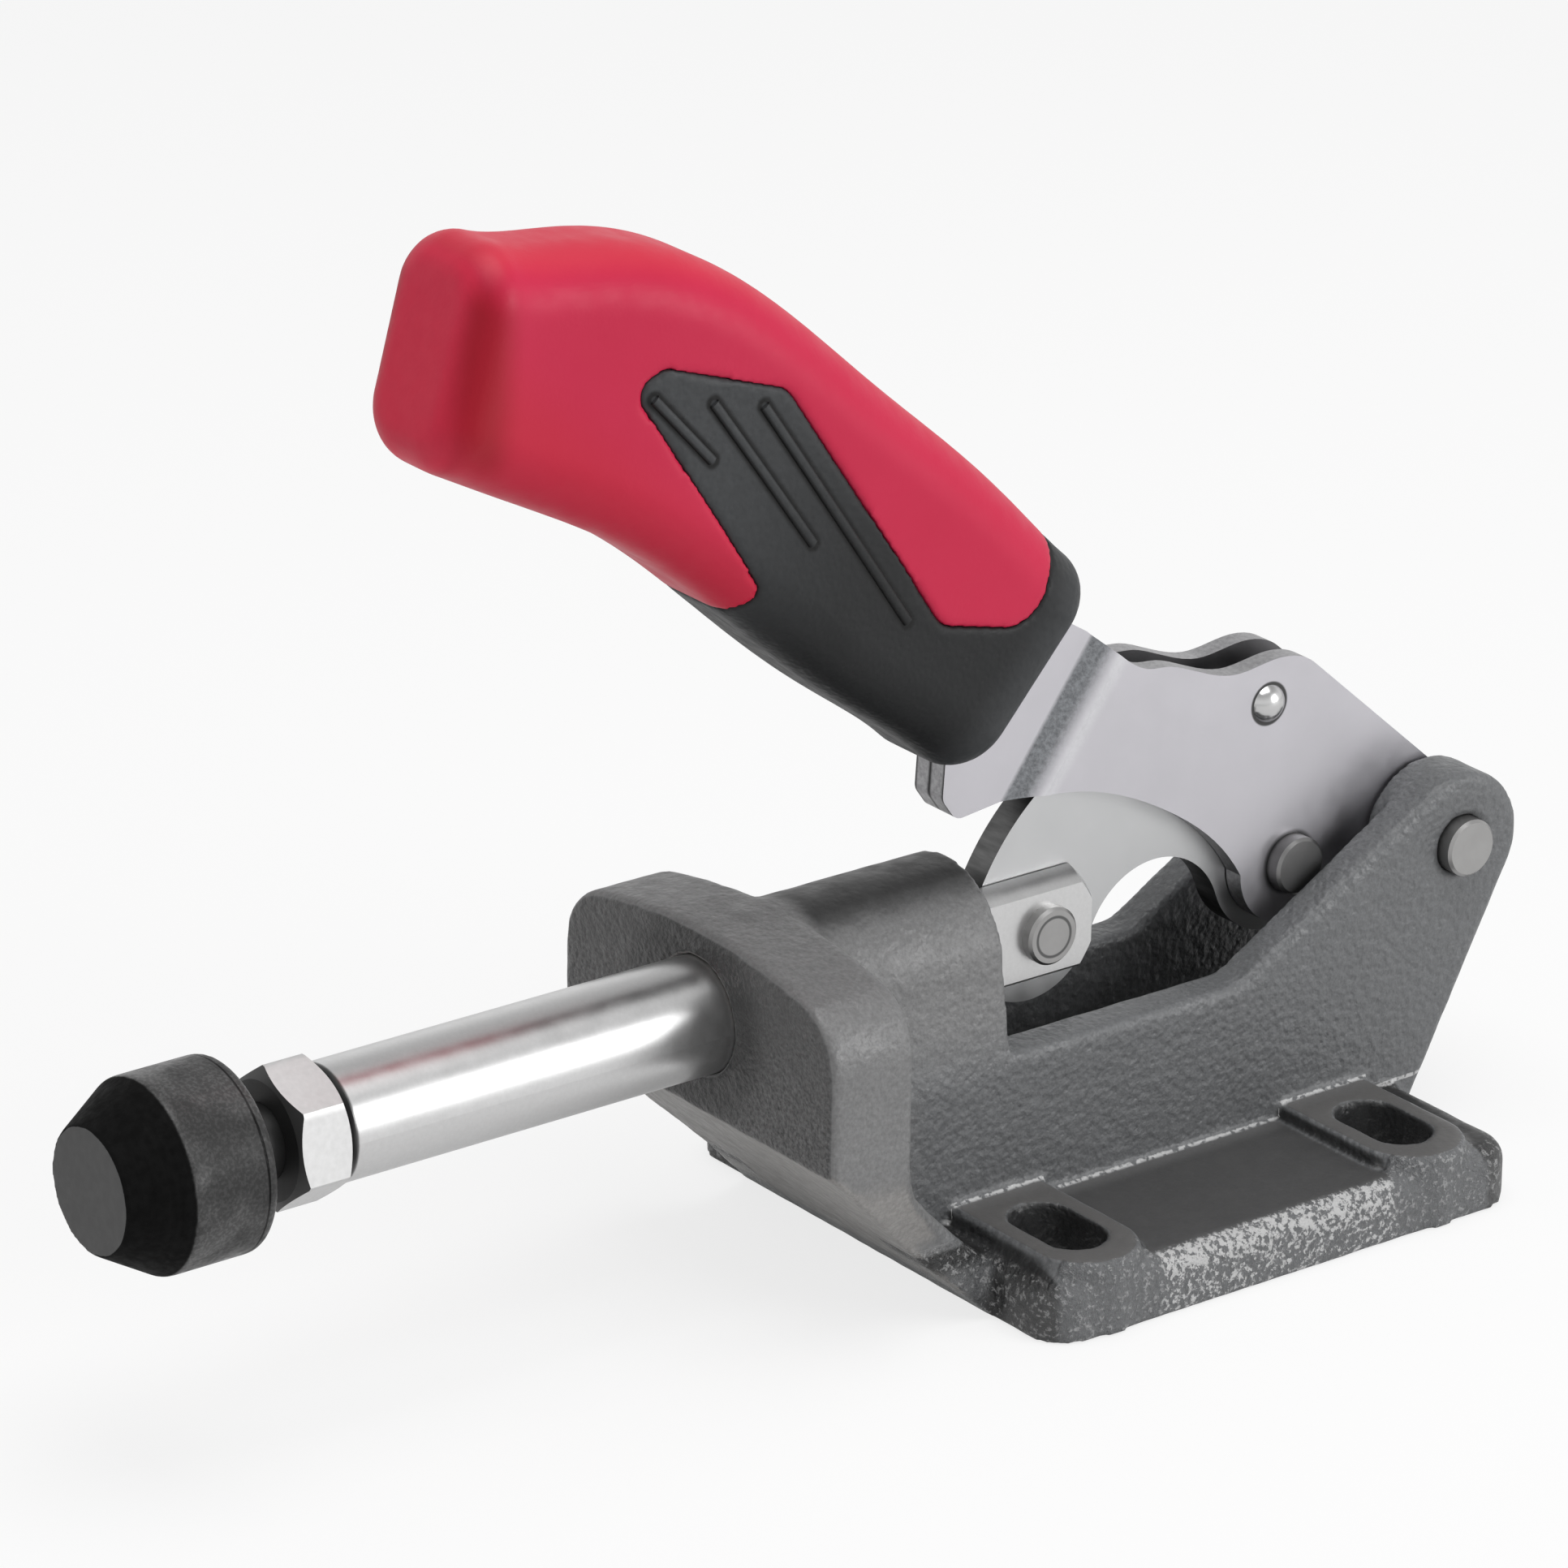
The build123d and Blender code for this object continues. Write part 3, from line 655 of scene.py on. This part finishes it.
def satin_chrome():
    """Satin chromed bar, dark in the chamfer at its front end."""
    f = Finish("satin_chrome", Metallic=1.0)
    end = f.between(f.y, PLUNGER_FRONT + 1.3, PLUNGER_FRONT + 0.9)
    f.set(Base_Color=f.mix(end, f.greys(f.noise(0.6, 4.0, 0.7), *CHROME_TONE), grey(0.1)),
          Roughness=f.spread(f.noise(3.0), 0.29, 0.34))
    return f


def red_grip():
    """Moulded red plastic, with painted shade in its side hollows and below, painted light on top and a
    painted glow at the tip.
    """
    f = Finish("red_grip", Specular_IOR_Level=0.24)
    along, above = f.along(GRIP_START, GRIP_LEAN)
    _, face_y, face_z = f.facing()
    from_middle = abs(along - HOLLOW_ALONG - HOLLOW_SLANT * (above - HOLLOW_LEVEL))
    in_hollow = f.between(from_middle, *HOLLOW_REACH) * f.band(above, *HOLLOW_ABOVE)
    hollow = in_hollow * f.between(abs(f.x), *HOLLOW_SIDE_X)
    tip = f.between(along, *GRIP_TIP) * f.between(face_y, *GRIP_FRONT)
    red = f.mix(f.noise(14.0), *RED_COLOURS)
    # painted shade on the lower part
    red = f.mix(f.between(above, *GRIP_BELOW) * 0.5, red, RED_SHADE_BELOW)
    # painted light on up-facing surfaces
    red = f.mix(f.between(face_z, *GRIP_UP) * 0.6, red, RED_LIT_ON_TOP)
    # painted glow on the front-facing tip
    red = f.mix(tip * 0.8, red, f.mix(f.noise(2.0, 4.0), *RED_TIP_GLOW_COLOURS))
    # painted shade in the side hollows
    f.set(Base_Color=f.mix(hollow * 0.88, red, RED_HOLLOW_SHADE),
          Roughness=f.spread(f.noise(3.0), 0.42, 0.5))
    f.relief(f.noise(0.55, 2.0), 0.03, 0.6)
    return f


def black_grip():
    """Fine-textured black: painted shade in a groove round each rib, and a painted sheen paler towards the tip
    and at the heel.
    """
    f = Finish("black_grip", Specular_IOR_Level=0.22)
    first, second, third = (f.from_line(start, end) for start, end in RIB_LINES)
    off_rib = first.least(second).least(third) - RIB_WIDTH / 2
    on_side = f.between(abs(f.x), *GRIP_SIDE_X)
    groove = f.between(off_rib, 0.75, 0.1) * on_side * (1 - f.between(off_rib, -0.1, -0.5))
    along, _ = f.along(GRIP_START, GRIP_LEAN)
    painted_sheen = f.between(along, *GRIP_SHEEN) + f.between(along, *GRIP_HEEL)
    tone = f.greys(f.noise(8.0), *BLACK_TONE)
    # painted sheen, paler towards the tip and at the heel
    tone = f.mix(painted_sheen, tone, f.greys(f.noise(1.3, 4.0), *SHEEN_TONE))
    # painted shade in the groove round each rib
    f.set(Base_Color=f.mix(groove, tone, grey(0.004)), Roughness=f.spread(f.noise(2.0), 0.45, 0.55))
    f.relief(f.cells(0.75), 0.1, 0.7)
    return f


def cap_rubber():
    """Moulded rubber: painted highlight mottling its sides, pale ground face, dark turned cone, and a parting
    line near the back.
    """
    f = Finish("cap_rubber", Specular_IOR_Level=0.11, Coat_Roughness=0.36)
    _, face_y, _ = f.facing()
    face = f.between(face_y, *CAP_FRONT)
    cone = f.between(face_y, *CONE_FRONT) * (1 - face)
    parting = f.between(abs(f.y - CAP_PARTING), 0.22, 0.08)
    patch = f.between(f.noise(8.0, 2.0), 0.42, 0.62)
    speck = f.between(f.noise(0.45, 2.0), 0.4, 0.68)
    turned = f.add("ShaderNodeTexNoise", out="Fac", settings={"noise_dimensions": "1D"},
                   W=f.from_plunger(), Scale=2.2, Detail=2.0)
    # lighter patches and specks on the sides: painted highlight; the coat gives them real gloss as well
    tone = f.mix(patch * 0.5 + 0.3, grey(0.034), f.greys(speck, 0.05, 0.1))
    tone = f.mix(face, tone, f.greys(f.noise(3.0), *CAP_FACE_TONE))
    tone = f.mix(cone, tone, f.greys(turned, *CAP_CONE_TONE))
    tone = f.mix(parting, tone, grey(0.001))
    f.set(Base_Color=tone, Roughness=f.spread(f.noise(1.2), 0.3, 0.48) + cone * 0.35 + face * 0.25,
          Coat_Weight=(1 - cone.most(face)) * (patch * 0.4 + speck * 0.1))
    f.relief(f.noise(0.8, 3.0) * (1 - face) - parting * 3.0, 0.1, 0.6)
    return f


FINISHES = {
    "casting_paint": CastingPaint(),
    "lever_zinc": lever_zinc(),
    "rivet_zinc": plain_plating("rivet_zinc", 0.56, 0.2),
    "pin_zinc": pin_zinc(),
    "nut_zinc": nut_zinc(),
    "bolt_steel": plain_plating("bolt_steel", 0.05, 0.5),
    "link_steel": link_steel(),
    "satin_chrome": satin_chrome(),
    "red_grip": red_grip(),
    "black_grip": black_grip(),
    "cap_rubber": cap_rubber(),
}
WEARS = {
    "base_casting": "casting_paint",
    "pivot_pin": "pin_zinc",
    "pivot_bush": "link_steel",
    "lever_plate_left": "lever_zinc",
    "lever_plate_right": "lever_zinc",
    "link_pin": "pin_zinc",
    "stop_rivet": "rivet_zinc",
    "grip_shell": "red_grip",
    "grip_core": "black_grip",
    "toggle_link": "link_steel",
    "clevis_studs": "pin_zinc",
    "plunger_rod": "satin_chrome",
    "lock_nut": "nut_zinc",
    "clamping_bolt": "bolt_steel",
    "rubber_cap": "cap_rubber",
}
for node_name, finish_name in WEARS.items():
    for entry in frame["nodes"][node_name].material_slots:
        entry.material = FINISHES[finish_name].material


# ------------------------------------------------------------------ tools for the pieces
def placed(name, data):
    """New object of the scene."""
    obj = bpy.data.objects.new(name, data)
    bpy.context.scene.collection.objects.link(obj)
    return obj


def settle(obj):
    """Turns what an object's modifiers make into its own plain mesh, and takes the modifiers off."""
    bpy.context.view_layer.update()
    mesh = bpy.data.meshes.new_from_object(obj.evaluated_get(bpy.context.evaluated_depsgraph_get()))
    mesh.name = obj.name
    obj.modifiers.clear()
    obj.data = mesh


class Growth(Nodes):
    """A geometry tree with named inputs."""

    def __init__(self, name, **inputs):
        super().__init__(bpy.data.node_groups.new(name, "GeometryNodeTree"))
        sides = self.tree.interface
        sides.new_socket("Geometry", in_out="INPUT", socket_type="NodeSocketGeometry")
        sides.new_socket("Geometry", in_out="OUTPUT", socket_type="NodeSocketGeometry")
        self.ids = {key: sides.new_socket(key, in_out="INPUT", socket_type=kind).identifier
                    for key, kind in inputs.items()}
        self.entry = self.add("NodeGroupInput").socket.node

    def given(self, name):
        return Signal(self, self.entry.outputs[name])

    def finish(self, geometry, material):
        """Real geometry in its material, handed out of the tree."""
        whole = self.add("GeometryNodeRealizeInstances", Geometry=geometry)
        worn = self.add("GeometryNodeSetMaterial", Geometry=whole, Material=material)
        self.plug(self.tree.nodes.new("NodeGroupOutput").inputs["Geometry"], worn)


def grown(name, points, edges, growth, **values):
    """Piece that a geometry tree grows from a bare wire, as a plain mesh."""
    wire = bpy.data.meshes.new(name)
    wire.from_pydata(points, edges, [])
    obj = placed(name, wire)
    modifier = obj.modifiers.new(name, "NODES")
    modifier.node_group = growth.tree
    for key, value in values.items():
        modifier[growth.ids[key]] = value
    settle(obj)
    obj.data.shade_smooth()
    return obj


def skin(node_name, name, body, voxel_mm, rounds, grain=None):
    """Moulded or cast skin over a solid: the same form with its edges softened.

    A grain of (size, depth) in millimetres makes it slightly uneven.
    """
    work = bmesh.new()
    work.from_mesh(frame["nodes"][node_name].data)
    bmesh.ops.remove_doubles(work, verts=work.verts, dist=CAD_MERGE)
    whole = bpy.data.meshes.new(name)
    work.to_mesh(whole)
    work.free()
    obj = placed(name, whole)
    remesh = obj.modifiers.new("even", "REMESH")
    remesh.mode = "VOXEL"
    remesh.voxel_size = voxel_mm * MM
    remesh.use_smooth_shade = True
    soften = obj.modifiers.new("soften", "SMOOTH")
    soften.factor = 0.5
    soften.iterations = rounds
    settle(obj)
    if grain:
        roughen(obj.data, *grain)
    obj.data.shade_smooth()
    obj.data.materials.clear()
    obj.data.materials.append(FINISHES[WEARS[node_name]].material)
    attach(obj, body)
    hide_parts(node_name)


def roughen(mesh, size, depth):
    """Moves each point of a mesh a little in or out."""
    normals = [Vector(entry.vector) for entry in mesh.vertex_normals]
    for vertex, normal in zip(mesh.vertices, normals):
        vertex.co += normal * noise.noise(vertex.co / (size * MM)) * depth * MM


def turned_piece(name, rings, finish, body, replaced):
    """Closed piece from rings of equal numbers of points, the last ring joined to the first."""
    count = len(rings[0])
    faces = []
    for a in range(len(rings)):
        b = (a + 1) % len(rings)
        for i in range(count):
            j = (i + 1) % count
            faces.append((a * count + i, a * count + j, b * count + j, b * count + i))
    mesh = bpy.data.meshes.new(name)
    mesh.from_pydata([point for ring in rings for point in ring], [], faces)
    work = bmesh.new()
    work.from_mesh(mesh)
    bmesh.ops.remove_doubles(work, verts=work.verts, dist=RING_MERGE)
    bmesh.ops.recalc_face_normals(work, faces=work.faces)
    work.to_mesh(mesh)
    work.free()
    mesh.materials.append(FINISHES[finish].material)
    mesh.shade_smooth()
    mesh.set_sharp_from_angle(angle=SHARP_ANGLE)
    obj = placed(name, mesh)
    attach(obj, body)
    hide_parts(replaced)


# ------------------------------------------------------------------ pieces
def lock_nut():
    """Hexagon nut with turned corners, at the angle at which it was tightened."""
    back = PLUNGER_FRONT
    front = back - NUT_HEIGHT
    rings = [[] for _ in range(6)]
    for i in range(NUT_STEPS):
        angle = math.tau * i / NUT_STEPS
        from_flat = (angle - NUT_TURN) % (math.tau / 6) - math.tau / 12
        reach = NUT_ACROSS / 2 / math.cos(from_flat)
        drop = (reach - NUT_FACE_R) * math.tan(NUT_CHAMFER)
        section = ((NUT_BORE_R, front), (NUT_FACE_R, front), (reach, front + drop),
                   (reach, back - drop), (NUT_FACE_R, back), (NUT_BORE_R, back))
        for ring, (radius, y) in zip(rings, section):
            ring.append((radius * math.cos(angle) * MM, y * MM, (AXIS_Z + radius * math.sin(angle)) * MM))
    turned_piece("lock_nut_turned", rings, "nut_zinc", "plunger", "lock_nut")


def stop_rivet():
    """Shank through both plates with a polished dome at each end."""
    sphere_r = (RIVET_HEAD_R ** 2 + RIVET_RISE ** 2) / (2 * RIVET_RISE)
    half = [(RIVET_SEAT, RIVET_SHANK_R), (RIVET_SEAT, RIVET_HEAD_R)]
    for step in range(1, DOME_STEPS + 1):
        x = RIVET_SEAT + RIVET_RISE * step / DOME_STEPS
        from_centre = x - RIVET_SEAT - RIVET_RISE + sphere_r
        half.append((x, math.sqrt(max(0.0, sphere_r ** 2 - from_centre ** 2))))
    rings = []
    for x, radius in [(-x, radius) for x, radius in reversed(half)] + half:
        angles = [math.tau * i / RIVET_STEPS for i in range(RIVET_STEPS)]
        rings.append([(x * MM, (STOP_RIVET[0] + radius * math.cos(angle)) * MM,
                       (STOP_RIVET[1] + radius * math.sin(angle)) * MM) for angle in angles])
    turned_piece("stop_rivet_domed", rings, "rivet_zinc", "lever", "stop_rivet")


def rib_growth():
    """Low rounded ribs that lie on the side of the grip along a wire held outside it."""
    g = Growth("raised_ribs", Grip="NodeSocketObject", Width="NodeSocketFloat", Height="NodeSocketFloat",
               Finish="NodeSocketMaterial")
    half = g.given("Width") * 0.5

    # the wire is cast inwards onto the grip
    curve = g.add("GeometryNodeMeshToCurve", Mesh=g.given("Geometry"))
    curve = g.add("GeometryNodeResampleCurve", Curve=curve, Count=RIB_STEPS)
    position = g.add("GeometryNodeInputPosition")
    x, _, _ = g.parts(position)
    inward = g.add("ShaderNodeCombineXYZ", X=-x.sign())
    grip = g.add("GeometryNodeObjectInfo", out="Geometry", settings={"transform_space": "RELATIVE"},
                 Object=g.given("Grip"))
    hit = g.add("GeometryNodeRaycast", out="Hit Position", Target_Geometry=grip, Source_Position=position,
                Ray_Direction=inward, Ray_Length=0.1)
    curve = g.add("GeometryNodeSetPosition", Geometry=curve, Position=hit)

    # both ends are rounded off by the curve's radius
    length = g.add("GeometryNodeSplineParameter", out="Length")
    total = g.add("GeometryNodeSplineLength", out="Length")
    to_end = (half - length.least(total - length)).most(0.0) / half
    curve = g.add("GeometryNodeSetCurveRadius", Curve=curve, Radius=(1.0005 - to_end * to_end).root())

    # the round section is pressed flat towards the surface that the wire lies on
    capture = g.add("GeometryNodeCaptureAttribute", Geometry=curve).socket.node
    capture.capture_items.new("FLOAT", "Surface")
    there, _, _ = g.parts(g.add("GeometryNodeInputPosition"))
    g.plug(capture.inputs["Surface"], there)
    curve, surface = (Signal(g, capture.outputs[key]) for key in ("Geometry", "Surface"))
    ring = g.add("GeometryNodeCurvePrimitiveCircle", out="Curve", Resolution=RIB_SIDES, Radius=half)
    swept = g.add("GeometryNodeCurveToMesh", Curve=curve, Profile_Curve=ring, Fill_Caps=True)
    x, y, z = g.parts(g.add("GeometryNodeInputPosition"))
    pressed = surface + (x - surface) * (g.given("Height") / half)
    swept = g.add("GeometryNodeSetPosition", Geometry=swept,
                  Position=g.add("ShaderNodeCombineXYZ", X=pressed, Y=y, Z=z))
    g.finish(swept, g.given("Finish"))
    return g


def panel_ribs():
    """Three raised ribs on each side of the grip."""
    points, edges = [], []
    for side in (-1, 1):
        for line in RIB_LINES:
            edges.append((len(points), len(points) + 1))
            points += [(side * RIB_WIRE_X * MM, y * MM, z * MM) for y, z in line]
    ribs = grown("panel_ribs", points, edges, rib_growth(), Grip=frame["nodes"]["grip_core"],
                 Width=RIB_WIDTH * MM, Height=RIB_HEIGHT * MM, Finish=FINISHES["black_grip"].material)
    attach(ribs, "lever")


skin("base_casting", "casting_skin", "base", voxel_mm=0.66, rounds=2, grain=(3.2, 0.07))
skin("grip_shell", "grip_shell_skin", "lever", voxel_mm=0.55, rounds=2)
skin("grip_core", "grip_core_skin", "lever", voxel_mm=0.55, rounds=2)
skin("rubber_cap", "rubber_cap_skin", "plunger", voxel_mm=0.4, rounds=3)
lock_nut()
stop_rivet()
panel_ribs()


# ------------------------------------------------------------------ camera, floor and lights
def camera():
    data = bpy.data.cameras.new("camera")
    data.lens = CAMERA_LENS
    data.sensor_width = CAMERA_SENSOR
    data.clip_start = 0.1
    data.clip_end = 20.0
    cam = placed("camera", data)
    cam.location = CAMERA_PLACE
    cam.rotation_euler = [math.radians(angle) for angle in CAMERA_TURN]
    bpy.context.scene.camera = cam


def seen_rays(nodes):
    """Rays of the camera, straight on or through glass, and rays off polished metal."""
    from_camera = nodes.add("ShaderNodeLightPath", out="Is Camera Ray")
    straight = from_camera.most(from_camera.beside("Is Transmission Ray"))
    return straight, from_camera.beside("Is Glossy Ray")


def floor():
    """White floor, lifted towards plain white where the camera or polished metal sees it."""
    mesh = bpy.data.meshes.new("floor")
    corners = [(x * FLOOR_HALF, y * FLOOR_HALF, FLOOR_Z) for x, y in ((-1, -1), (1, -1), (1, 1), (-1, 1))]
    mesh.from_pydata(corners, [], [(0, 1, 2, 3)])
    f = Finish("floor_white", Roughness=0.9)
    f.set(Base_Color=f.greys(f.noise(400.0), 0.88, 0.9))
    lit = f.add("ShaderNodeEmission", Color=(1, 1, 1, 1))
    straight, glossy = seen_rays(f)
    share = (straight * FLOOR_SEEN).most(glossy * FLOOR_IN_METAL)
    both = f.add("ShaderNodeMixShader", at={0: share, 1: Signal(f, f.shader.outputs[0]), 2: lit})
    f.plug(f.tree.nodes["Material Output"].inputs["Surface"], both)
    mesh.materials.append(f.material)
    obj = placed("floor", mesh)


def area_light(name, place, width, watts):
    """Square lamp that looks at the clamp."""
    data = bpy.data.lights.new(name, "AREA")
    data.shape = "RECTANGLE"
    data.size = width
    data.size_y = width
    data.energy = watts
    lamp = placed(name, data)
    lamp.location = place
    lamp.rotation_euler = (Vector(LAMP_AIM) - Vector(place)).to_track_quat("-Z", "Y").to_euler()


def studio():
    """White surround; polished metal sees it dimmer overhead, so that it has something to show."""
    world = bpy.data.worlds.new("studio")
    bpy.context.scene.world = world
    world.use_nodes = True
    nodes = Nodes(world.node_tree)
    _, _, up = nodes.parts(nodes.add("ShaderNodeTexCoord", out="Generated"))
    ceiling = ((up - 0.3) * 2.5).clipped()
    straight, glossy = seen_rays(nodes)
    seen = straight.most(glossy * (1 - CEILING_SHADE * ceiling))
    background = nodes.tree.nodes["Background"]
    nodes.plug(background.inputs["Color"], (1, 1, 1, 1))
    nodes.plug(background.inputs["Strength"], SURROUND_LIGHT + (1 - SURROUND_LIGHT) * seen)
    area_light("overhead", place=(0.15, -0.05, 1.0), width=0.8, watts=6)
    area_light("side", place=(0.85, 0.55, 0.36), width=0.5, watts=4.5)


camera()
floor()
studio()
bpy.context.scene.view_settings.view_transform = "Standard"
